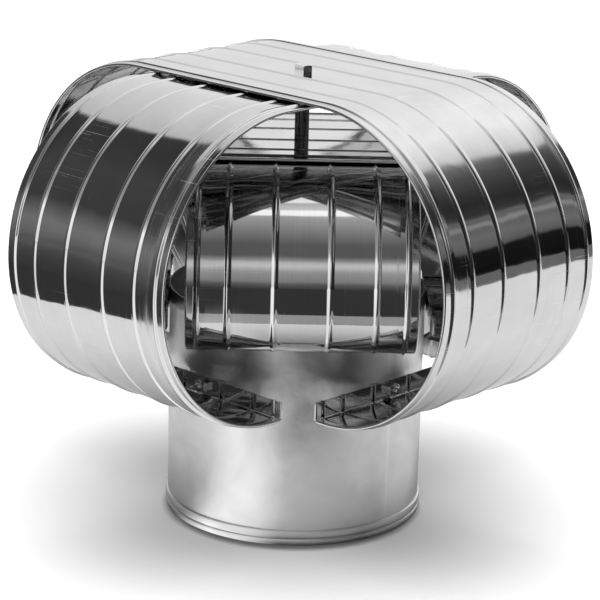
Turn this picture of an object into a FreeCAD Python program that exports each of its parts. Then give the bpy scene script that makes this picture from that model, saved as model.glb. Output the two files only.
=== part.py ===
import FreeCAD, Part
import math
import os

# Stationary down-draught cap for the top of a 200 mm single-wall flue, in mm.
# A plain collar slips over the flue pipe.  Two long bands of beaded stainless strip cross over it,
# each flat on top and curled down and in at both ends, so that their four wings throw the wind past.
# Two shorter bands, turned 45 degrees, cross beneath them and shield the mouth of the flue.
# Nothing moves.  The origin is the middle of the collar's bottom rim, +Z is up, +X runs along the
# upper outer band and +Y along the lower one.

# Flue collar: a rolled tube with a rim roll at its foot and one stiffening bead just above it
collar_radius = 100.0
collar_height = 180.0
collar_wall = 0.8
rim_height = 5.2
rim_bead_height = 6.8
rim_proud = 1.6
rim_shoulder = 1.3

# Strip that all four bands are rolled from, with beads along it at these distances from its middle.
# Its width leaves this gap, at the collar, between the foot of one wing and the plane of the next.
wing_corner_gap = 16.0
strip_gauge = 0.8
strip_beads = (20.0, 53.5, 75.0)
strip_bead_width = 4.0
strip_bead_height = 1.5
strip_edge_flat = 4.0

# Foot of each wing: a flange folded up against the collar and held by one nut on a welded stud
flange_fit = 0.1
flange_nut_floor_gap = 1.3
flange_lip_margin = 1.3
stud_radius = 3.0
stud_spare = 3.0
stud_hole_clearance = 0.3
flange_nut_flats = 10.0
flange_nut_height = 5.0

# Inner bands: how far their flanges stop below the collar's top edge, the flat run of the foot, and the
# radii of the curl below and above its widest place
inner_flange_setback = 2.0
inner_foot = 17.0
inner_lower_radius = 48.0
inner_upper_radius = 87.5

# Outer bands: how far their feet lie below the inner ones, and the same measures
outer_flange_drop = 53.0
outer_foot = 9.4
outer_lower_radius = 112.5
outer_upper_radius = 125.5

# Centre fastening: one bolt through all four bands, with a washer at each crossing and a tube between
bolt_radius = 4.0
bolt_head_flats = 13.0
bolt_head_height = 5.5
bolt_spare = 4.0
bolt_hole_clearance = 0.4
crossing_washer_radius = 9.0
crossing_washer_thickness = 2.9
spacer_wall = 1.2
spacer_bore_clearance = 0.3
under_washer_radius = 8.5
under_washer_thickness = 1.6
lock_washer_radius = 7.0
lock_washer_thickness = 2.0
centre_nut_flats = 13.0
centre_nut_height = 6.5
thread_fit = 0.05

UP = FreeCAD.Vector(0, 0, 1)
ALONG = FreeCAD.Vector(1, 0, 0)
ORIGIN = FreeCAD.Vector(0, 0, 0)

# What follows from the sizes above
strip_half = collar_radius - wing_corner_gap
nut_corner = flange_nut_flats / math.sqrt(3)
stud_rise = strip_gauge + flange_nut_floor_gap + nut_corner
flange_height = stud_rise + nut_corner + flange_lip_margin
flange_seat = collar_radius + flange_fit
crossing_drop = strip_gauge + crossing_washer_thickness
inner_bottom = collar_height - inner_flange_setback - flange_height
inner_top = inner_bottom + inner_lower_radius + inner_upper_radius
outer_bottom = inner_bottom - outer_flange_drop
outer_top = outer_bottom + outer_lower_radius + outer_upper_radius


def closed_face(points):
    """A flat face bounded by straight edges through the points, in order."""
    corners = [FreeCAD.Vector(*p) for p in points]
    return Part.Face(Part.makePolygon(corners + corners[:1]))


def upright_bar(radius, low, high):
    """An upright round bar on the Z axis between two heights."""
    return Part.makeCylinder(radius, high - low, FreeCAD.Vector(0, 0, low))


def upright_ring(outer, inner, low, high):
    """An upright tube or washer on the Z axis."""
    return upright_bar(outer, low, high).cut(upright_bar(inner, low, high))


def hexagon(flats, low, high):
    """An upright hexagon prism on the Z axis."""
    corner = flats / math.sqrt(3)
    angles = [k * math.pi / 3 for k in range(6)]
    return closed_face([(corner * math.cos(a), corner * math.sin(a), low) for a in angles]).extrude(
        UP * (high - low))


def flue_collar():
    """The collar, turned about its axis: wall, rim roll at the foot and stiffening bead above it."""
    inner = collar_radius - collar_wall
    crest = collar_radius + rim_proud
    outline = [(inner, 0, 0)]
    for low, high in ((0, rim_height), (rim_height, rim_height + rim_bead_height)):
        outline += [(collar_radius, 0, low), (crest, 0, low + rim_shoulder), (crest, 0, high - rim_shoulder)]
    outline += [
        (collar_radius, 0, rim_height + rim_bead_height),
        (collar_radius, 0, collar_height),
        (inner, 0, collar_height),
    ]
    return closed_face(outline).revolve(ORIGIN, UP, 360)


def strip_section(top):
    """Cut end of the strip as it lies at the middle of a band, with its plain outer face at a height.

    The beads stand out of that face.  A narrow strip has no bead within the flat of its edge.
    """
    reach = strip_half - strip_edge_flat - strip_bead_width / 2
    places = [p for p in strip_beads if p <= reach]
    points = [(0, -strip_half, top)]
    for place in [-p for p in reversed(places)] + places:
        points += [
            (0, place - strip_bead_width / 2, top),
            (0, place, top + strip_bead_height),
            (0, place + strip_bead_width / 2, top),
        ]
    points += [(0, strip_half, top), (0, strip_half, top - strip_gauge), (0, -strip_half, top - strip_gauge)]
    return closed_face(points).OuterWire


def wing_path(bottom, foot, lower, upper):
    """Outer face of one wing in side view, from the middle of the flat top to the lip of the flange."""
    widest = bottom + lower
    curl_start = flange_seat + foot
    flat_end = curl_start + lower - upper

    def at(x, z):
        return FreeCAD.Vector(x, 0, z)

    def curl(centre, radius, first, last):
        angles = [math.radians(a) for a in (first, (first + last) / 2, last)]
        places = [at(centre + radius * math.cos(a), widest + radius * math.sin(a)) for a in angles]
        return Part.Arc(*places).toShape()

    return Part.Wire([
        Part.makeLine(at(0, widest + upper), at(flat_end, widest + upper)),
        curl(flat_end, upper, 90, 0),
        curl(curl_start, lower, 0, -90),
        Part.makeLine(at(curl_start, bottom), at(flange_seat, bottom)),
        Part.makeLine(at(flange_seat, bottom), at(flange_seat, bottom + flange_height)),
    ])


def band(bottom, foot, lower, upper):
    """A whole band along X: the strip swept down one wing, mirrored, and drilled for bolt and studs."""
    top = bottom + lower + upper
    wing = wing_path(bottom, foot, lower, upper).makePipeShell([strip_section(top)], True, False, 1)
    whole = wing.fuse(wing.mirror(ORIGIN, ALONG)).removeSplitter()
    whole = whole.cut(upright_bar(bolt_radius + bolt_hole_clearance, bottom + lower, top))
    drilled = flange_seat + strip_gauge
    drill = Part.makeCylinder(stud_radius + stud_hole_clearance, 2 * drilled,
                              FreeCAD.Vector(-drilled, 0, bottom + stud_rise), ALONG)
    return whole.cut(drill)


def flange_fastening(bottom):
    """The stud and the nut that hold one flange, on the +X side of the collar."""
    seat = flange_seat + strip_gauge
    nut_end = seat + flange_nut_height
    stud = upright_bar(stud_radius, collar_radius, nut_end + stud_spare)
    nut = hexagon(flange_nut_flats, seat, nut_end)
    nut = nut.cut(upright_bar(stud_radius + thread_fit, seat, nut_end))
    for piece in (stud, nut):
        piece.rotate(ORIGIN, FreeCAD.Vector(0, 1, 0), 90)
        piece.translate(UP * (bottom + stud_rise))
    return stud, nut


def turned(shape, angle):
    """A copy turned about the collar's axis."""
    copy = shape.copy()
    copy.rotate(ORIGIN, UP, angle)
    return copy


def centre_pieces():
    """The bolt and what it clamps, from the top down."""
    outer_under = outer_top - crossing_drop - strip_gauge
    inner_under = inner_top - crossing_drop - strip_gauge
    washer_end = inner_under - under_washer_thickness
    lock_end = washer_end - lock_washer_thickness
    nut_end = lock_end - centre_nut_height
    hole = bolt_radius + bolt_hole_clearance
    bore = bolt_radius + spacer_bore_clearance
    thread = bolt_radius + thread_fit
    head = hexagon(bolt_head_flats, outer_top, outer_top + bolt_head_height)
    return {
        "centre_bolt": head.fuse(upright_bar(bolt_radius, nut_end - bolt_spare, outer_top)),
        "outer_crossing_washer": upright_ring(
            crossing_washer_radius, hole, outer_top - crossing_drop, outer_top - strip_gauge),
        "centre_spacer": upright_ring(bore + spacer_wall, bore, inner_top, outer_under),
        "inner_crossing_washer": upright_ring(
            crossing_washer_radius, hole, inner_top - crossing_drop, inner_top - strip_gauge),
        "centre_washer": upright_ring(under_washer_radius, hole, washer_end, inner_under),
        "centre_lock_washer": upright_ring(lock_washer_radius, thread, lock_end, washer_end),
        "centre_nut": hexagon(centre_nut_flats, nut_end, lock_end).cut(
            upright_bar(thread, nut_end, lock_end)),
    }


def build():
    """Every piece by its name."""
    pieces = {"flue_collar": flue_collar()}
    pieces.update(centre_pieces())
    outer = (outer_bottom, outer_foot, outer_lower_radius, outer_upper_radius)
    inner = (inner_bottom, inner_foot, inner_lower_radius, inner_upper_radius)
    for name, angle, sizes, drop in (
        ("outer_upper", 0, outer, 0),
        ("outer_lower", 90, outer, crossing_drop),
        ("inner_upper", 45, inner, 0),
        ("inner_lower", 135, inner, crossing_drop),
    ):
        bottom, foot, lower, upper = sizes
        pieces[name + "_band"] = turned(band(bottom, foot, lower, upper - drop), angle)
        for kind, shape in zip(("studs", "nuts"), flange_fastening(bottom)):
            twins = [turned(shape, angle), turned(shape, angle + 180)]
            pieces[name + "_" + kind] = Part.makeCompound(twins)
    return pieces


os.makedirs("parts", exist_ok=True)
for node, shape in build().items():
    shape.exportStep(os.path.join("parts", node + ".step"))
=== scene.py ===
import math

import bmesh
import bpy
from mathutils import Matrix, Vector


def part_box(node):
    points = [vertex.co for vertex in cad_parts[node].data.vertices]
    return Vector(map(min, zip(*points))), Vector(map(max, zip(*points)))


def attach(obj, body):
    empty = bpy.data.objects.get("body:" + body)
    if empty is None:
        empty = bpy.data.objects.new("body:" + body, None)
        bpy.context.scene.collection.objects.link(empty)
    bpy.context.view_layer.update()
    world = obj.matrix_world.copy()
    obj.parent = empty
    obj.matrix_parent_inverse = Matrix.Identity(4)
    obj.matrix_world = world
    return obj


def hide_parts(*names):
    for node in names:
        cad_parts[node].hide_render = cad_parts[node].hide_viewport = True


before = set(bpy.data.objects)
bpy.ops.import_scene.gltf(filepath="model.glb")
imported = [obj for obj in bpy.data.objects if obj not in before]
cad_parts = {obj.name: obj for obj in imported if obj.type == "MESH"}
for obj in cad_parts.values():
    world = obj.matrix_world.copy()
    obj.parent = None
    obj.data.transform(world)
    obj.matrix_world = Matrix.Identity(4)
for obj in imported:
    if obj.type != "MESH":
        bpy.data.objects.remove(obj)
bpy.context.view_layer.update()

bpy.context.scene.view_settings.view_transform = "Standard"

# The viewpoint: a long lens from a little above the cap, looking in between two of its wings, so that
# the near corner of the square that the wings make faces the camera.
view_azimuth = math.radians(43.76)
view_elevation = math.radians(16.43)
view_roll = math.radians(1.48)
view_distance = 1.8784
view_height = 0.1658
view_lens = 143.71
view_shift = 0.0044

bpy.ops.object.select_all(action="DESELECT")
turn = (
    Matrix.Rotation(view_azimuth, 4, "Z")
    @ Matrix.Rotation(math.pi / 2 - view_elevation, 4, "X")
    @ Matrix.Rotation(view_roll, 4, "Z")
)
aim = Matrix.Translation((0, 0, view_height))
bpy.ops.object.camera_add()
camera = bpy.context.object
camera.matrix_world = aim @ turn @ Matrix.Translation((0, 0, view_distance))
camera.data.lens = view_lens
camera.data.shift_x = view_shift
bpy.context.scene.camera = camera

# The floor: white paper that ends a little way in front of the cap and to its left, on a grey table with
# dark mats round it.  The paper shows white to the camera and keeps the cap's shadow, with a painted
# shadow ringed round the collar's foot.  A far paper behind the cap, and a pale board to its left in
# front, show only in the steel.
paper_front = 0.30
paper_left = 0.50
paper_right = 1.6
paper_back = 12.0
paper_colour = 0.9
paper_glow = 0.15
paper_in_steel = 0.80
# A painted shadow on the paper: a dark ring round the collar's foot, set a little toward the camera, which
# fades out over its reach
painted_shadow_radius = 0.0945
painted_shadow_aside = 0.0008
painted_shadow_forward = 0.0095
painted_shadow_reach = 0.0115
painted_shadow_level = 0.24
table_front = 0.44
table_drop = 0.001
table_level = 0.40
side_right = 3.8
side_drop = 0.0015
side_level = 0.18
mat_left = 0.95
mat_drop = 0.003
mat_level = 0.05
mat_far = 3.5
mat_far_level = 0.13
dark_drop = 0.0035
dark_level = 0.008
ground_size = 30.0
ground_drop = 0.004
ground_level = 0.045
far_back = 1.3
far_rise = 0.0005
far_level = 1.35
board_azimuth = math.radians(-145)
board_reach = 25.0
board_width = 36.0
board_rise = 0.0004
board_level = 1.2
board_core = math.radians(8)
board_edge = math.radians(33)


class Shading:
    """The nodes of one material, shader group or world, written in a short form."""

    def __init__(self, tree):
        self.tree = tree

    def add(self, kind, settings=None, **inputs):
        """Add a node, with its inputs filled or joined by name or number, and return its outputs."""
        node = self.tree.nodes.new("ShaderNode" + kind)
        for key, value in (settings or {}).items():
            setattr(node, key, value)
        for key, value in inputs.items():
            number = key[1:]
            socket = node.inputs[int(number) if number.isdigit() else key.replace("_", " ")]
            if isinstance(value, bpy.types.NodeSocket):
                self.join(value, socket)
            else:
                socket.default_value = value
        return node.outputs

    def join(self, value, socket):
        """Join an output to an input."""
        self.tree.links.new(value, socket)

    def reckon(self, operation, *values):
        """One sum, such as MULTIPLY, on numbers and outputs."""
        inputs = {"i%d" % number: value for number, value in enumerate(values)}
        return self.add("Math", {"operation": operation}, **inputs)[0]

    def run(self, value, first, last, low=0.0, high=1.0, eased=False):
        """A value that goes from low to high while another goes from first to last."""
        settings = {"interpolation_type": "SMOOTHSTEP" if eased else "LINEAR"}
        return self.add("MapRange", settings, i0=value, i1=first, i2=last, i3=low, i4=high)[0]

    def between(self, share, low, high):
        """A value that goes from low to high with a share."""
        return self.run(share, 0.0, 1.0, low, high)


def grey(level):
    """A grey as a colour socket takes it."""
    return (level, level, level, 1)


def square_to_view(x, y, z):
    """A place given to the right of the cap, behind it and above it, as the camera sees it."""
    return Matrix.Rotation(view_azimuth, 3, "Z") @ Vector((x, y, z))


def floor_plane(name, left, right, front, back, height):
    """A flat rectangle set square to the view."""
    bpy.ops.mesh.primitive_plane_add(size=1)
    plane = bpy.context.object
    plane.name = name
    plane.scale = (right + left, front + back, 1)
    plane.rotation_euler.z = view_azimuth
    plane.location = square_to_view((right - left) / 2, (back - front) / 2, height)
    bpy.ops.object.transform_apply(location=True, rotation=True, scale=True)
    return plane


def bare_material(name):
    """A material with no nodes yet, its shading and its light path."""
    material = bpy.data.materials.new(name)
    material.use_nodes = True
    material.node_tree.nodes.clear()
    shading = Shading(material.node_tree)
    return material, shading, shading.add("LightPath")


def white_paper():
    """Matt white paper with a painted shadow darkening it round the collar's rim, and a little dimmer in
    mirrors.
    """
    material, shading, path = bare_material("white_paper")
    place = shading.add("TexCoord")["Object"]
    # The painted shadow is darkest at its radius and fades to none at its end. It darkens the matt colour
    # and the glow alike.
    aside = square_to_view(painted_shadow_aside, painted_shadow_forward, 0)
    moved = shading.add("VectorMath", {"operation": "ADD"}, i0=place, i1=aside)[0]
    away = shading.add("VectorMath", {"operation": "LENGTH"}, i0=moved)["Value"]
    painted_shadow_end = painted_shadow_radius + painted_shadow_reach
    painted_shadow = shading.run(away, painted_shadow_radius, painted_shadow_end, painted_shadow_level, 1.0, eased=True)
    colour = shading.between(path["Is Glossy Ray"], paper_colour, paper_colour * paper_in_steel)
    matt = shading.add("BsdfDiffuse", i0=shading.reckon("MULTIPLY", painted_shadow, colour))[0]
    glow = shading.reckon("MULTIPLY", path["Is Camera Ray"], paper_glow)
    shine = shading.add("Emission", i0=painted_shadow, i1=glow)[0]
    both = shading.add("AddShader", i0=matt, i1=shine)[0]
    shading.add("OutputMaterial", i0=both)
    return material


def mirrored_surface(name, level, outer_level=None):
    """A surface that the steel mirrors at a level, which may turn into an outer one away from the cap.

    It is white to the camera and black to matt things.  Its shader still has to be given out.
    """
    material, shading, path = bare_material(name)
    place = shading.add("TexCoord")["Object"]
    away = shading.add("VectorMath", {"operation": "LENGTH"}, i0=place)["Value"]
    mirrored = shading.run(away, mat_left, mat_far, level, outer_level or level)
    seen = shading.reckon("MULTIPLY_ADD", path["Is Glossy Ray"], mirrored, path["Is Camera Ray"])
    return material, shading, shading.add("Emission", i0=grey(1), i1=seen)[0]


def only_in_steel(piece):
    """Hide a piece from the camera and from matt things, so that only mirrors show it."""
    piece.visible_camera = False
    piece.visible_diffuse = False
    piece.visible_shadow = False


def pale_board():
    """A long triangle with its tip under the cap, which fades out toward its two sides."""
    board_turn = view_azimuth - board_azimuth
    middle = board_reach / 1.5
    bpy.ops.mesh.primitive_circle_add(vertices=3, radius=1, fill_type="NGON")
    board = bpy.context.object
    board.name = "board"
    board.scale = (board_width / math.sqrt(3), middle, 1)
    board.rotation_euler.z = board_turn - math.pi
    board.location = Matrix.Rotation(board_turn, 3, "Z") @ Vector((0, middle, board_rise))
    bpy.ops.object.transform_apply(location=True, rotation=True, scale=True)
    material, shading, shine = mirrored_surface("pale_board", board_level)
    place = shading.add("TexCoord")["Object"]
    along = shading.add("Mapping", {"vector_type": "POINT"}, Vector=place, Rotation=(0, 0, -board_turn))[0]
    axes = shading.add("SeparateXYZ", i0=along)
    aside = shading.reckon("ABSOLUTE", shading.reckon("ARCTAN2", axes[0], axes[1]))
    share = shading.run(aside, board_core, board_edge, 1.0, 0.0, eased=True)
    clear = shading.add("BsdfTransparent")[0]
    soft = shading.add("MixShader", i0=share, i1=clear, i2=shine)[0]
    shading.add("OutputMaterial", i0=soft)
    board.data.materials.append(material)
    return board


paper = floor_plane("paper", paper_left, paper_right, paper_front, paper_back, 0)
paper.data.materials.append(white_paper())
for name, sides, height, levels in (
    ("table", (paper_left, paper_right, table_front, paper_right), -table_drop, [table_level]),
    ("side_table", (-paper_right, side_right, table_front, ground_size), -side_drop, [side_level]),
    ("mat", (ground_size, -mat_left, ground_size, ground_size), -mat_drop, [mat_level, mat_far_level]),
    ("dark_floor", (-side_right, ground_size, ground_size, ground_size), -dark_drop, [dark_level]),
    ("ground", (ground_size, ground_size, ground_size, ground_size), -ground_drop, [ground_level]),
    ("far_paper", (paper_left, paper_right, -far_back, paper_back), far_rise, [far_level]),
):
    surface = floor_plane(name, *sides, height)
    material, shading, shine = mirrored_surface(name, *levels)
    shading.add("OutputMaterial", i0=shine)
    surface.data.materials.append(material)
only_in_steel(bpy.data.objects["far_paper"])
only_in_steel(pale_board())

# The room: a white wall behind the cap, dark to its left, dim to its right and in front, with a long
# soft light overhead.  The steel mirrors it; the camera sees plain white, and matt things an even light.
room = bpy.data.worlds.new("room")
bpy.context.scene.world = room
room.use_nodes = True
room.node_tree.nodes.clear()
shading = Shading(room.node_tree)
path = shading.add("LightPath")
place = shading.add("TexCoord")["Generated"]
turned = shading.add("Mapping", {"vector_type": "POINT"}, Vector=place, Rotation=(0, 0, -view_azimuth))[0]
axes = shading.add("SeparateXYZ", i0=turned)
across = shading.reckon("ARCTAN2", axes[0], axes[1])
rise = shading.reckon("ARCSINE", axes[2])


def by_angle(shading, angle, stops):
    """A level that runs straight between stops, each an angle in degrees and a level."""
    first, last = stops[0][0], stops[-1][0]
    node = shading.tree.nodes.new("ShaderNodeValToRGB")
    shading.join(shading.run(angle, math.radians(first), math.radians(last)), node.inputs[0])
    points = node.color_ramp.elements
    points.remove(points[1])
    for index, (where, level) in enumerate(stops):
        share = (where - first) / (last - first)
        point = points.new(share) if index else points[0]
        point.position = share
        point.color = grey(level)
    return node.outputs[0]


left = by_angle(shading, rise, [
    (-90, 0.06), (-2, 0.13), (4, 0.20), (8, 0.22), (13, 0.15), (19, 0.06), (36, 0.068), (44, 0.045),
    (52, 0.055), (66, 0.3), (76, 0.8), (90, 0.6),
])
left_front = by_angle(shading, rise, [
    (-90, 0.3), (-2, 1.0), (8, 1.1), (22, 1.25), (27, 0.6), (31, 0.42), (40, 0.38), (60, 0.35),
    (72, 0.5), (76, 0.8), (90, 0.6),
])
right = by_angle(shading, rise, [
    (-90, 0.16), (-4, 0.008), (6.5, 0.012), (7.5, 0.14), (12, 0.20), (16, 0.16), (16.8, 0.3),
    (18, 0.34), (19.2, 0.12), (20.5, 0.2), (21.5, 0.05), (26, 0.03), (31, 0.05), (35.5, 0.09),
    (38.5, 0.18), (44, 0.5), (60, 0.6), (78, 0.9), (90, 0.6),
])
right_front = by_angle(shading, rise, [(-90, 0.02), (60, 0.03), (72, 0.3), (78, 0.8), (90, 0.6)])
front = by_angle(shading, rise, [
    (-90, 0.05), (0, 0.07), (4, 0.13), (7, 0.28), (16, 0.4), (22, 0.72), (25, 0.66), (28, 0.33),
    (32, 0.13), (44, 0.13), (56, 0.25), (71, 0.42), (74.5, 0.5), (75.5, 1.3), (81, 1.35), (82, 0.8),
    (90, 0.6),
])
wall = by_angle(shading, across, [
    (-45, 0.60), (-20, 0.8), (0, 0.92), (18, 1.15), (38, 1.2), (50, 1.0), (58, 0.75),
])
to_right_side = by_angle(shading, across, [(-8, 0), (8, 1)])
to_front = by_angle(shading, across, [(-180, 1), (-158, 1), (-150, 0), (152, 0), (165, 1), (180, 1)])
to_left_front = by_angle(shading, across, [(-180, 1), (-112, 1), (-106, 0), (180, 0)])
to_right_front = by_angle(shading, across, [(-180, 0), (104, 0), (112, 1), (180, 1)])
to_wall = by_angle(shading, across, [(-180, 0), (-41, 0), (-38.5, 1), (57, 1), (59.5, 0), (180, 0)])
mirrored = shading.between(to_right_side, left, right)
mirrored = shading.between(to_left_front, mirrored, left_front)
mirrored = shading.between(to_right_front, mirrored, right_front)
mirrored = shading.between(to_front, mirrored, front)
mirrored = shading.between(to_wall, mirrored, wall)
even_light = by_angle(shading, rise, [(30, 0), (50, 0.7), (70, 4.15), (90, 0)])
to_camera = shading.add("Background", i0=grey(1), i1=1.0)[0]
to_steel = shading.add("Background", i0=grey(1), i1=mirrored)[0]
to_matt = shading.add("Background", i0=grey(1), i1=even_light)[0]
unseen = shading.add("MixShader", i0=path["Is Glossy Ray"], i1=to_matt, i2=to_steel)[0]
whole = shading.add("MixShader", i0=path["Is Camera Ray"], i1=unseen, i2=to_camera)[0]
shading.add("OutputWorld", i0=whole)

# The lamp: one soft square light straight above, which gives the cap its floor shadow.  The steel mirrors
# the room's own light overhead and not the lamp, and strip may mirror strip eight times over.
overhead_height = 6.0
overhead_size = 2.4
overhead_power = 84
mirror_bounces = 8

bpy.ops.object.light_add(type="AREA", location=(0, 0, overhead_height))
lamp = bpy.context.object
lamp.data.size = overhead_size
lamp.data.energy = overhead_power
lamp.visible_glossy = False
bpy.context.scene.cycles.glossy_bounces = mirror_bounces

# The flue collar: a tube rolled from satin stainless sheet, which slips down over the flue pipe.  Its foot
# is rolled outward into a rim, with one stiffening bead pressed just above it.
collar_radius = 0.100
collar_height = 0.180
collar_wall = 0.0008
collar_sides = 256
rim_height = 0.0052
rim_bead_height = 0.0068
rim_proud = 0.0016
roll_fullness = 0.4
roll_steps = 14
edge_ease = 0.0002
same_place = 1e-6


def alone():
    """Nothing is selected, and no mesh is being edited, before the next piece is begun."""
    if bpy.context.object and bpy.context.object.mode != "OBJECT":
        bpy.ops.object.mode_set(mode="OBJECT")
    bpy.ops.object.select_all(action="DESELECT")


def take(piece):
    """Select one piece alone, as the piece in hand."""
    alone()
    piece.select_set(True)
    bpy.context.view_layer.objects.active = piece


def push(x=0.0, y=0.0, z=0.0):
    """Extrude what is selected by a straight step."""
    bpy.ops.mesh.extrude_region_move(TRANSFORM_OT_translate={"value": (x, y, z)})


def settle():
    """Place and turn go into the mesh, and the object ends at the origin."""
    bpy.ops.object.transform_apply(location=True, rotation=True, scale=True)


def closed_up():
    """Merge doubled corners, point the faces outwards and leave edit mode."""
    bpy.ops.mesh.select_all(action="SELECT")
    bpy.ops.mesh.remove_doubles(threshold=same_place)
    bpy.ops.mesh.normals_make_consistent(inside=False)
    bpy.ops.object.mode_set(mode="OBJECT")


def turned_piece(name, outline, sides, ring):
    """A piece turned on the Z axis through its outline, a list of radii and heights.

    A ring's outline comes back to where it began; any other piece is closed flat at both ends.
    """
    alone()
    radius, height = outline[0]
    bpy.ops.mesh.primitive_circle_add(vertices=sides, radius=radius, location=(0, 0, height),
                                      fill_type="NOTHING" if ring else "NGON")
    piece = bpy.context.object
    piece.name = name
    settle()
    bpy.ops.object.mode_set(mode="EDIT")
    bpy.ops.mesh.select_all(action="SELECT")
    for next_radius, next_height in outline[1:] + (outline[:1] if ring else []):
        push(z=next_height - height)
        growth = next_radius / radius
        bpy.ops.transform.resize(value=(growth, growth, 1), center_override=(0, 0, next_height))
        radius, height = next_radius, next_height
    closed_up()
    return piece


def smooth(piece, degrees=40):
    """Shade a piece smooth, with its corners kept sharp."""
    take(piece)
    bpy.ops.object.shade_smooth_by_angle(angle=math.radians(degrees))


def finished(piece, node, slot, *materials):
    """Give a piece its steel, and let it stand for its solid."""
    for material in materials:
        piece.data.materials.append(material)
    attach(piece, "root")
    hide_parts(node)


def roll(low, high):
    """Outline of a round bead on the collar's wall, from its upper side to its lower one."""
    middle, half = (high + low) / 2, (high - low) / 2
    angles = [math.pi * step / roll_steps for step in range(roll_steps + 1)]
    return [
        (collar_radius + rim_proud * math.sin(angle) ** roll_fullness, middle + half * math.cos(angle))
        for angle in angles
    ]


def effect(name, inputs, outputs):
    """A new shader group with its inputs and first values: its shading, what it takes and what it gives."""
    group = bpy.data.node_groups.new(name, "ShaderNodeTree")
    for title, value in inputs.items():
        kind = "NodeSocketVector" if isinstance(value, tuple) else "NodeSocketFloat"
        group.interface.new_socket(title, in_out="INPUT", socket_type=kind).default_value = value
    for title in outputs:
        group.interface.new_socket(title, in_out="OUTPUT", socket_type="NodeSocketFloat")
    takes = group.nodes.new("NodeGroupInput").outputs
    gives = group.nodes.new("NodeGroupOutput").inputs
    return Shading(group), takes, gives


# Cloudy patches, as rolling and handling leave on sheet steel
patches, takes, gives = effect(
    "cloudy_patches", {"Place": (0.0, 0.0, 0.0), "Size": 0.05, "Spread": 0.2}, ["Patches"])
per_metre = patches.reckon("DIVIDE", 1.0, takes["Size"])
spot = patches.add("VectorMath", {"operation": "SCALE"}, i0=takes["Place"], Scale=per_metre)[0]
cloud = patches.add("TexNoise", Vector=spot, Scale=1.0, Detail=3.0, Roughness=0.5, Distortion=0.3)[0]
low = patches.reckon("SUBTRACT", 0.5, takes["Spread"])
high = patches.reckon("ADD", 0.5, takes["Spread"])
patches.join(patches.run(cloud, low, high), gives["Patches"])

# Fine lines that run one way, as a polishing belt, a lathe or a roller leaves them
lines, takes, gives = effect(
    "fine_lines", {"Place": (0.0, 0.0, 0.0), "Per metre": (900.0, 900.0, 900.0)}, ["Lines", "Scratches"])
spot = lines.add("VectorMath", {"operation": "MULTIPLY"}, i0=takes["Place"], i1=takes["Per metre"])[0]
grain = lines.add("TexNoise", Vector=spot, Scale=1.0, Detail=4.0, Roughness=0.7)[0]
lines.join(lines.run(grain, 0.3, 0.7), gives["Lines"])
lines.join(lines.run(grain, 0.64, 0.72), gives["Scratches"])

# Bright worn corners, broken up so that no corner is worn evenly
wear, takes, gives = effect("worn_corners", {"Place": (0.0, 0.0, 0.0), "Amount": 1.0}, ["Wear"])
corner = wear.run(wear.add("NewGeometry")["Pointiness"], 0.51, 0.58)
rub = wear.add("TexNoise", Vector=takes["Place"], Scale=220.0, Detail=3.0)[0]
uneven = wear.reckon("MULTIPLY", corner, rub)
wear.join(wear.reckon("MULTIPLY", uneven, takes["Amount"]), gives["Wear"])


class SteelShading(Shading):
    """The nodes of a bare steel material, whose place is turned to lie along a piece."""

    def __init__(self, name, angle=0.0):
        self.material = bpy.data.materials.new(name)
        self.material.use_nodes = True
        super().__init__(self.material.node_tree)
        self.shader = self.tree.nodes["Principled BSDF"].inputs
        self.shader["Metallic"].default_value = 1
        place = self.add("TexCoord")["Object"]
        self.place = self.add("Mapping", {"vector_type": "POINT"}, Vector=place, Rotation=(0, 0, -angle))[0]

    def put(self, group, **inputs):
        """Place a shader group at this steel's place, and return what it gives."""
        return self.add("Group", {"node_tree": group.tree}, Place=self.place, **inputs)

    def raised(self, value, *shares):
        """A value raised by each mask in turn, times the mask's own gain."""
        for mask, gain in shares:
            value = self.reckon("MULTIPLY_ADD", mask, gain, value)
        return value

    def bump(self, height, distance, **more):
        """A normal bent by a height over the surface."""
        return self.add("Bump", Height=height, Distance=distance, Strength=1.0, **more)[0]

    def complete(self, colour, roughness, normal):
        """Join the shader's colour, roughness and normal, and return the material."""
        self.join(colour, self.shader["Base Color"])
        self.join(roughness, self.shader["Roughness"])
        self.join(normal, self.shader["Normal"])
        return self.material


def satin_steel():
    """Satin sheet, clouded in colour and dullness, brushed upright and very slightly dented."""
    steel = SteelShading("satin_sheet")
    cloud = steel.put(patches, Size=0.055, Spread=0.16)["Patches"]
    small = steel.put(patches, Size=0.012, Spread=0.25)["Patches"]
    grain = steel.put(lines, Per_metre=(893.0, 893.0, 60.0))["Lines"]
    worn = steel.put(wear, Amount=1.0)["Wear"]
    colour = steel.raised(steel.between(cloud, 0.61, 0.86), (worn, 0.15))
    rough = steel.raised(steel.between(cloud, 0.31, 0.41), (grain, 0.04))
    dents = steel.bump(small, 0.00015)
    return steel.complete(colour, rough, steel.bump(grain, 0.000008, Normal=dents))


inner = collar_radius - collar_wall
collar_outline = [
    (inner, collar_height - edge_ease), (inner + edge_ease, collar_height),
    (collar_radius - edge_ease, collar_height), (collar_radius, collar_height - edge_ease),
]
collar_outline += roll(rim_height, rim_height + rim_bead_height)
collar_outline += roll(0, rim_height)[1:]
collar_outline += [(inner + edge_ease, 0), (inner, edge_ease)]
collar = turned_piece("rolled_collar", collar_outline, collar_sides, ring=True)
smooth(collar)
finished(collar, "flue_collar", "collar_steel", satin_steel())

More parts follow.
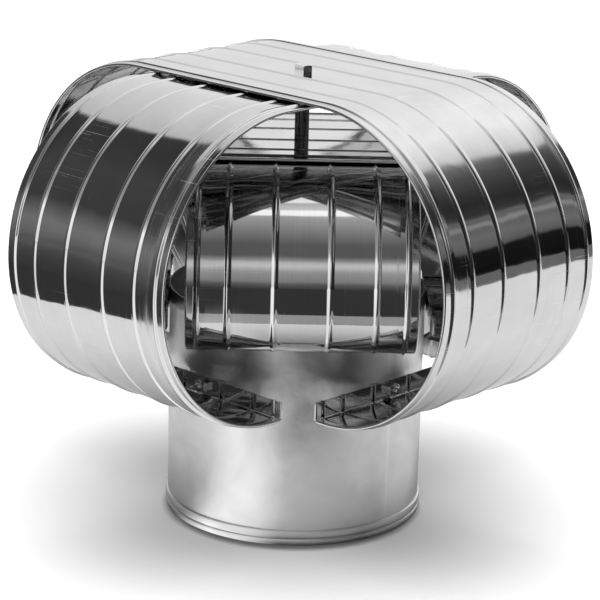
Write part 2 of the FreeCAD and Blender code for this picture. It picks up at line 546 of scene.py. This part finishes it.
# The studs: eight short threaded studs of stainless bar, two to each band, stood on the collar's wall
# and welded there.  Each pair is one piece of the cap.
strip_gauge = 0.0008
flange_fit = 0.0001
flange_height = 0.01495
inner_flange_setback = 0.002
outer_flange_drop = 0.053
crossing_drop = 0.0037
outer_foot = 0.0094
outer_lower_radius = 0.1125
outer_upper_radius = 0.1255
inner_foot = 0.017
inner_lower_radius = 0.048
inner_upper_radius = 0.0875
flange_nut_height = 0.005
stud_radius = 0.003
stud_spare = 0.003
stud_root = 0.0002
stud_neck = 0.0002
stud_point = 0.0005
stud_point_depth = 0.0008
stud_pitch = 0.001
thread_depth_per_pitch = 0.55
fastener_sides = 48

# Name, angle, bottom, foot, and the radii of the curl below and above its widest place
inner_bottom = collar_height - inner_flange_setback - flange_height
outer_bottom = inner_bottom - outer_flange_drop
outer_lower_top = outer_upper_radius - crossing_drop
inner_lower_top = inner_upper_radius - crossing_drop
bands = (
    ("outer_upper", 0, outer_bottom, outer_foot, outer_lower_radius, outer_upper_radius),
    ("outer_lower", 90, outer_bottom, outer_foot, outer_lower_radius, outer_lower_top),
    ("inner_upper", 45, inner_bottom, inner_foot, inner_lower_radius, inner_upper_radius),
    ("inner_lower", 135, inner_bottom, inner_foot, inner_lower_radius, inner_lower_top),
)
flange_face = collar_radius + flange_fit + strip_gauge
stud_end = flange_face + flange_nut_height + stud_spare


def thread(radius, low, high, pitch):
    """Outline of a screw thread, root and crest by turns, from a low height to a high one."""
    turns = round((high - low) / pitch)
    depth = thread_depth_per_pitch * pitch
    return [(radius - depth * (step % 2 == 0), low + step * pitch / 2) for step in range(2 * turns + 1)]


def machined_steel(name, level, roughness):
    """Bright bar steel, turned round its axis, with small marks and worn corners."""
    steel = SteelShading(name)
    turning = steel.put(lines, Per_metre=(500.0, 500.0, 5000.0))["Lines"]
    small = steel.put(patches, Size=0.004, Spread=0.2)["Patches"]
    worn = steel.put(wear, Amount=1.0)["Wear"]
    colour = steel.raised(steel.between(small, level - 0.04, level + 0.04), (worn, 0.2))
    rough = steel.raised(steel.between(small, roughness - 0.04, roughness + 0.05), (turning, 0.06))
    return steel.complete(colour, rough, steel.bump(turning, 0.00001))


def outward_pair(piece, node, angle):
    """Lay an upright piece outward at a band's angle and its node's height, with its twin opposite."""
    low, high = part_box(node)
    piece.rotation_euler = (0, math.pi / 2, 0)
    piece.location.z = (low[2] + high[2]) / 2
    settle()
    piece.rotation_euler.z = math.radians(angle)
    settle()
    bpy.ops.object.duplicate()
    twin = bpy.context.object
    twin.rotation_euler.z = math.pi
    settle()
    piece.select_set(True)
    bpy.context.view_layer.objects.active = piece
    bpy.ops.object.join()


bright_steel = machined_steel("bright_machined", 0.66, 0.16)
stud_outline = [(stud_radius, collar_radius - stud_root), (stud_radius, collar_radius + stud_neck)]
stud_outline += thread(stud_radius, collar_radius + 2 * stud_neck, stud_end - stud_point, stud_pitch)
stud_outline += [(stud_radius - stud_point_depth, stud_end)]
for name, angle, *_ in bands:
    stud = turned_piece(name + "_stud_pair", stud_outline, fastener_sides, ring=False)
    smooth(stud, 30)
    outward_pair(stud, name + "_studs", angle)
    finished(stud, name + "_studs", "fastener_steel", bright_steel)

# The strip: mirror-polished stainless steel 0.8 mm thick, rolled with six beads along it and hemmed at
# both long edges.  Each band is curled down and in at both ends and folded up against the collar, the
# inner two first and then the outer two, each over the one below it.
strip_half = 0.084
bead_places = (0.020, 0.0535)
bead_width = 0.0056
bead_height = 0.00088
bead_steps = 12
flat_margin = 0.0006
hem_radius = 0.0011
hem_return = 0.0045
hem_steps = 8
fold_radius = 0.0026
upper_steps = 44
lower_steps = 40
fold_steps = 8
bolt_hole = 0.0044
stud_hole = 0.0033
drill_sides = 32
drill_spare = 0.01
mirror_gap = 1e-5

# Across and rise of the bead beside the hem, which stands at the end of a shallow climb
edge_bead = (
    (0.0694, 0), (0.0700, 0.00003), (0.0712, 0.00011), (0.0724, 0.00018), (0.0732, 0.00022),
    (0.0736, 0.00032), (0.0739, 0.00054), (0.0743, 0.00086), (0.0747, 0.00116), (0.0750, 0.00131),
    (0.0753, 0.00136), (0.0757, 0.00131), (0.0761, 0.00110), (0.0766, 0.00068), (0.0771, 0.00028),
    (0.0775, 0.00008), (0.0779, 0), (0.0785, 0),
)


def pick(wanted):
    """Select the edges of the mesh in hand whose both ends are wanted."""
    bpy.ops.mesh.select_all(action="DESELECT")
    mesh = bmesh.from_edit_mesh(bpy.context.object.data)
    for edge in mesh.edges:
        if all(wanted(end.co) for end in edge.verts):
            edge.select_set(True)
    bmesh.update_edit_mesh(bpy.context.object.data)


def apply(kind, **settings):
    """Add a modifier to the piece in hand and apply it."""
    modifier = bpy.context.object.modifiers.new(kind.lower(), kind)
    for key, value in settings.items():
        setattr(modifier, key, value)
    bpy.ops.object.modifier_apply(modifier=modifier.name)


def strip_outline():
    """Across and rise of the strip's outer face, from the free edge of one hem to that of the other."""
    half = []
    for place in bead_places:
        half.append((place - bead_width / 2 - flat_margin, 0))
        for step in range(bead_steps + 1):
            share = step / bead_steps
            swell = (1 - math.cos(2 * math.pi * share)) / 2
            half.append((place + (share - 0.5) * bead_width, bead_height * swell))
        half.append((place + bead_width / 2 + flat_margin, 0))
    half += edge_bead
    hem_middle = strip_half - hem_radius
    half.append((hem_middle - flat_margin, 0))
    for step in range(hem_steps + 1):
        angle = math.pi * step / hem_steps
        half.append((hem_middle + hem_radius * math.sin(angle), hem_radius * (math.cos(angle) - 1)))
    half.append((hem_middle - flat_margin, -2 * hem_radius))
    half.append((hem_middle - hem_return, -2 * hem_radius))
    return [(-across, rise) for across, rise in reversed(half)] + half


def drill(radius, start, end, along_x=False):
    """A round cutter between two heights, upright or laid along X."""
    cutter = turned_piece("drill", [(radius, start), (radius, end)], drill_sides, ring=False)
    if along_x:
        cutter.rotation_euler.y = math.pi / 2
        settle()
    return cutter


def cut(piece, cutter):
    """Take the cutter out of the piece and throw it away."""
    take(piece)
    apply("BOOLEAN", object=cutter, operation="DIFFERENCE", solver="EXACT")
    bpy.data.objects.remove(cutter)


def quarter_curl(steps, x, z):
    """Spin the selected edge down and round by a quarter turn about a line across the band."""
    bpy.ops.mesh.spin(steps=steps, angle=math.pi / 2, center=(x, 0, z), axis=(0, -1, 0))


def rolled_strip(name, materials, bottom, foot, lower_radius, upper_radius):
    """One whole band along X."""
    outline = strip_outline()
    widest = bottom + lower_radius
    top = widest + upper_radius
    seat = collar_radius + flange_fit
    curl_start = seat + foot
    flat_end = curl_start + lower_radius - upper_radius
    run = flat_end - flat_margin
    alone()
    (first, drop), (second, _) = outline[:2]
    bpy.ops.mesh.primitive_plane_add(size=1, location=(run / 2, (first + second) / 2, top + drop))
    strip = bpy.context.object
    strip.name = name
    strip.scale = (run, abs(second - first), 1)
    settle()
    for material in materials:
        strip.data.materials.append(material)
    bpy.ops.object.mode_set(mode="EDIT")
    bpy.context.tool_settings.mesh_select_mode = (False, True, False)
    pick(lambda place: abs(place.y - second) < same_place)
    for (across, rise), (next_across, next_rise) in zip(outline[1:], outline[2:]):
        push(y=next_across - across, z=next_rise - rise)
    pick(lambda place: abs(place.x - run) < same_place)
    push(x=flat_margin)
    quarter_curl(upper_steps, flat_end, widest)
    quarter_curl(lower_steps, curl_start, widest)
    push(x=fold_radius - foot)
    quarter_curl(fold_steps, seat + fold_radius, bottom + fold_radius)
    push(z=flange_height - fold_radius)
    closed_up()
    apply("MIRROR", merge_threshold=mirror_gap)
    apply("SOLIDIFY", thickness=strip_gauge, offset=-1, use_even_offset=True, material_offset=1)
    return strip


# Thin marks that cross a sheet at a slant, as handling leaves them
marks, takes, gives = effect(
    "handling_marks", {"Place": (0.0, 0.0, 0.0), "Slant": (0.5, 0.3, 0.2)}, ["Marks"])
slant = marks.add("Mapping", {"vector_type": "POINT"}, Vector=takes["Place"], Rotation=takes["Slant"],
                  Scale=(14.0, 14.0, 1500.0))[0]
thin = marks.add("TexNoise", Vector=slant, Scale=1.0, Detail=2.0, Roughness=0.5)[0]
spots = marks.add("TexNoise", Vector=takes["Place"], Scale=16.0, Detail=1.0)[0]
rare = marks.reckon("MULTIPLY", marks.run(thin, 0.66, 0.70), marks.run(spots, 0.5, 0.62))
marks.join(rare, gives["Marks"])

# Where the polish changes across the strip: the streaks begin and are strongest, and the panel beside one
# edge bead begins, is fully dulled, sinks deepest, and has risen out of its sink
streaks_begin = 0.015
streaks_full = 0.075
panel_begin = 0.054
panel_dulled = 0.060
sink_deepest = edge_bead[0][0]
sink_risen = 0.0740


def polished_steel(name, angle, level, dullness, lined, grain, sway, edge_dullness=0.04, sink=0.0001):
    """Belt-polished strip, lined along its length, with one edge polished less evenly than its middle.

    It sways a little between its beads, and the panel at that edge sinks toward its edge bead.
    """
    steel = SteelShading(name, angle)
    belt = steel.put(lines, Per_metre=(8.0, 1300.0, 8.0))
    bundle = steel.put(lines, Per_metre=(11.0, 330.0, 11.0))
    smudge = steel.put(patches, Size=0.035, Spread=0.12)["Patches"]
    ripple = steel.put(patches, Size=0.11, Spread=0.45)["Patches"]
    handled = steel.put(marks)["Marks"]
    worn = steel.put(wear, Amount=1.0)["Wear"]
    colour = steel.raised(
        steel.between(smudge, level - 0.02, level + 0.025),
        (belt["Lines"], 0.05 * lined), (handled, 0.12 * lined), (worn, 0.08))

    across = steel.add("SeparateXYZ", i0=steel.place)[1]
    outward = steel.run(steel.reckon("ABSOLUTE", across), streaks_begin, streaks_full, 0.25, 1.0)
    streaks = steel.reckon("MULTIPLY", bundle["Scratches"], outward)
    toward_edge = steel.reckon("MULTIPLY", across, -1.0)
    edge = steel.run(toward_edge, panel_begin, panel_dulled, 0.0, edge_dullness)
    rough = steel.raised(
        steel.between(smudge, dullness, dullness + 0.035),
        (belt["Scratches"], 0.18 * lined), (streaks, 0.20 * lined), (handled, 0.25 * lined),
        (bundle["Lines"], edge))

    sinking = steel.reckon("POWER", steel.run(toward_edge, panel_begin, sink_deepest), 2.5)
    rising = steel.run(toward_edge, sink_deepest, sink_risen, 1.0, 0.0)
    cup = steel.add("Bump", {"invert": True}, Height=steel.reckon("MULTIPLY", sinking, rising),
                    Distance=sink, Strength=1.0)[0]
    wave = steel.bump(ripple, sway, Normal=cup)
    return steel.complete(colour, rough, steel.bump(belt["Lines"], grain, Normal=wave))


outer_face = {"level": 0.65, "dullness": 0.04, "lined": 1.0}
# The inner faces carry fewer lines than the outer polish. Their colour level is set lower than the polish
# as painted shade for the hollow inside the curls.
inner_face_painted_shade = {"level": 0.52, "dullness": 0.06, "lined": 0.1, "grain": 0.0000003, "sway": 0.00015}
band_polish = {
    "outer_upper": {"grain": 0.0000038, "sway": 0.0009, "edge_dullness": 0.06},
    "outer_lower": {"grain": 0.0000038, "sway": 0.0009, "edge_dullness": 0.20, "sink": 0.0007},
    "inner_upper": {"grain": 0.0000010, "sway": 0.0006},
    "inner_lower": {"grain": 0.0000010, "sway": 0.0006},
}
for name, angle, bottom, foot, lower_radius, upper_radius in bands:
    turn = math.radians(angle)
    faces = (
        polished_steel(name + "_polish", turn, **outer_face, **band_polish[name]),
        polished_steel(name + "_inner_face_painted_shade", turn, **inner_face_painted_shade),
    )
    strip = rolled_strip(name + "_strip", faces, bottom, foot, lower_radius, upper_radius)
    low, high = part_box(name + "_studs")
    top = bottom + lower_radius + upper_radius
    cut(strip, drill(bolt_hole, top - drill_spare, top + drill_spare))
    stud_drill = drill(stud_hole, -stud_end, stud_end, along_x=True)
    stud_drill.location.z = (low[2] + high[2]) / 2
    settle()
    cut(strip, stud_drill)
    strip.rotation_euler.z = turn
    settle()
    smooth(strip)
    finished(strip, name + "_band", "polished_steel")

# The crossings: plain washers keep each pair of bands apart, and a drawn tube holds the two pairs at
# their distance.  All of them sit on the one centre bolt.
washer_ease = 0.0003
washer_hole = 0.0044
washers = (("outer_crossing_washer", 0.009), ("inner_crossing_washer", 0.009), ("centre_washer", 0.0085))
tube_bore = 0.0043
tube_wall = 0.0012


def ring_outline(outer, inner, low, high):
    """Outline of a washer or tube with its four corners eased."""
    ease = washer_ease
    return [
        (inner, low + ease), (inner, high - ease), (inner + ease, high), (outer - ease, high),
        (outer, high - ease), (outer, low + ease), (outer - ease, low), (inner + ease, low),
    ]


def tube_steel():
    """Dark drawn tube, lined along its length."""
    steel = SteelShading("drawn_tube")
    drawn = steel.put(lines, Per_metre=(2500.0, 2500.0, 60.0))["Lines"]
    small = steel.put(patches, Size=0.012, Spread=0.2)["Patches"]
    colour = steel.between(small, 0.10, 0.17)
    rough = steel.between(drawn, 0.22, 0.36)
    return steel.complete(colour, rough, steel.bump(drawn, 0.00001))


for node, radius in washers:
    low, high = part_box(node)
    outline = ring_outline(radius, washer_hole, low[2], high[2])
    washer = turned_piece(node + "_ring", outline, fastener_sides, ring=True)
    smooth(washer, 30)
    finished(washer, node, "fastener_steel", bright_steel)
low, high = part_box("centre_spacer")
outline = ring_outline(tube_bore + tube_wall, tube_bore, low[2], high[2])
tube = turned_piece("spacer_tube", outline, fastener_sides, ring=True)
smooth(tube, 30)
finished(tube, "centre_spacer", "tube_steel", tube_steel())

# The centre fastening: a hexagon bolt down through all four bands, and under the inner crossing a split
# spring washer and a nut.  The flanges' small nuts are made the same way.
bolt_radius = 0.004
bolt_pitch = 0.00125
bolt_thread = 0.022
bolt_thread_end = 0.001
bolt_flats = 0.013
bolt_head = 0.0055
bolt_point = ((0.0009, 0), (0.0007, 0.0003))
bolt_point_height = 0.0008
bolt_shank_in_head = 0.001
hexagon_spare = 0.001
lathe_sides = 64
nut_mouth = 0.0004
spring_outer = 0.007
spring_fit = 0.0001
spring_turn = math.radians(348)
spring_steps = 48
spring_ease = 0.0001
flange_nut_flats = 0.010


def chamfer(flats):
    """For a hexagon's turned ends: a radius past its corners, the radius of the face, and the drop."""
    corner, face = 0.6 * flats, 0.475 * flats
    return corner, face, (corner - face) * math.tan(math.radians(30))


def hexagon(name, flats, outline, ring, turn=30):
    """A hexagon blank cut to a turned outline, which chamfers its corners."""
    lathe = turned_piece("lathe", outline, lathe_sides, ring)
    heights = [height for _, height in outline]
    low, high = min(heights) - hexagon_spare, max(heights) + hexagon_spare
    alone()
    bpy.ops.mesh.primitive_cylinder_add(vertices=6, radius=flats / math.sqrt(3), depth=high - low,
                                        location=(0, 0, (low + high) / 2),
                                        rotation=(0, 0, math.radians(turn)))
    blank = bpy.context.object
    blank.name = name
    settle()
    apply("BOOLEAN", object=lathe, operation="INTERSECT", solver="EXACT")
    bpy.data.objects.remove(lathe)
    return blank


def nut_outline(flats, bore, low, high):
    """Outline of a nut turned at both faces, with its thread's mouth eased."""
    corner, face, drop = chamfer(flats)
    return [
        (bore + nut_mouth, low), (face, low), (corner, low + drop), (corner, high - drop),
        (face, high), (bore + nut_mouth, high), (bore, high - nut_mouth), (bore, low + nut_mouth),
    ]


low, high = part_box("centre_bolt")
end, head_top = low[2], high[2]
head_base = head_top - bolt_head
corner, face, drop = chamfer(bolt_flats)
head_outline = [(corner, head_base), (corner, head_top - drop), (face, head_top)]
bolt = hexagon("hexagon_bolt", bolt_flats, head_outline, ring=False, turn=45)
shank_outline = [(bolt_radius - depth, end + rise) for depth, rise in bolt_point]
shank_outline += thread(bolt_radius, end + bolt_point_height, end + bolt_thread, bolt_pitch)
shank_outline += [(bolt_radius, end + bolt_thread + bolt_thread_end)]
shank_outline += [(bolt_radius, head_base + bolt_shank_in_head)]
shank = turned_piece("shank", shank_outline, fastener_sides, ring=False)
take(bolt)
apply("BOOLEAN", object=shank, operation="UNION", solver="EXACT")
bpy.data.objects.remove(shank)
smooth(bolt, 25)
finished(bolt, "centre_bolt", "fastener_steel", bright_steel)

low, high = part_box("centre_lock_washer")
middle = ((spring_outer + bolt_radius) / 2, 0, (low[2] + high[2]) / 2)
alone()
bpy.ops.mesh.primitive_plane_add(size=1, rotation=(math.pi / 2, 0, 0), location=middle)
spring = bpy.context.object
spring.name = "spring_washer"
spring.scale = (spring_outer - bolt_radius - spring_fit, high[2] - low[2], 1)
settle()
bpy.ops.object.mode_set(mode="EDIT")
bpy.ops.mesh.select_all(action="SELECT")
bpy.ops.mesh.spin(steps=spring_steps, angle=spring_turn, center=(0, 0, 0), axis=(0, 0, 1))
closed_up()
apply("BEVEL", width=spring_ease, segments=1)
smooth(spring, 30)
finished(spring, "centre_lock_washer", "fastener_steel", bright_steel)

low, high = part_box("centre_nut")
nut = hexagon("bolt_nut", bolt_flats, nut_outline(bolt_flats, bolt_radius, low[2], high[2]), ring=True)
smooth(nut, 25)
finished(nut, "centre_nut", "fastener_steel", bright_steel)

outline = nut_outline(flange_nut_flats, stud_radius, flange_face, flange_face + flange_nut_height)
for name, angle, *_ in bands:
    nut = hexagon(name + "_nut_pair", flange_nut_flats, outline, ring=True)
    smooth(nut, 25)
    outward_pair(nut, name + "_nuts", angle)
    finished(nut, name + "_nuts", "fastener_steel", bright_steel)
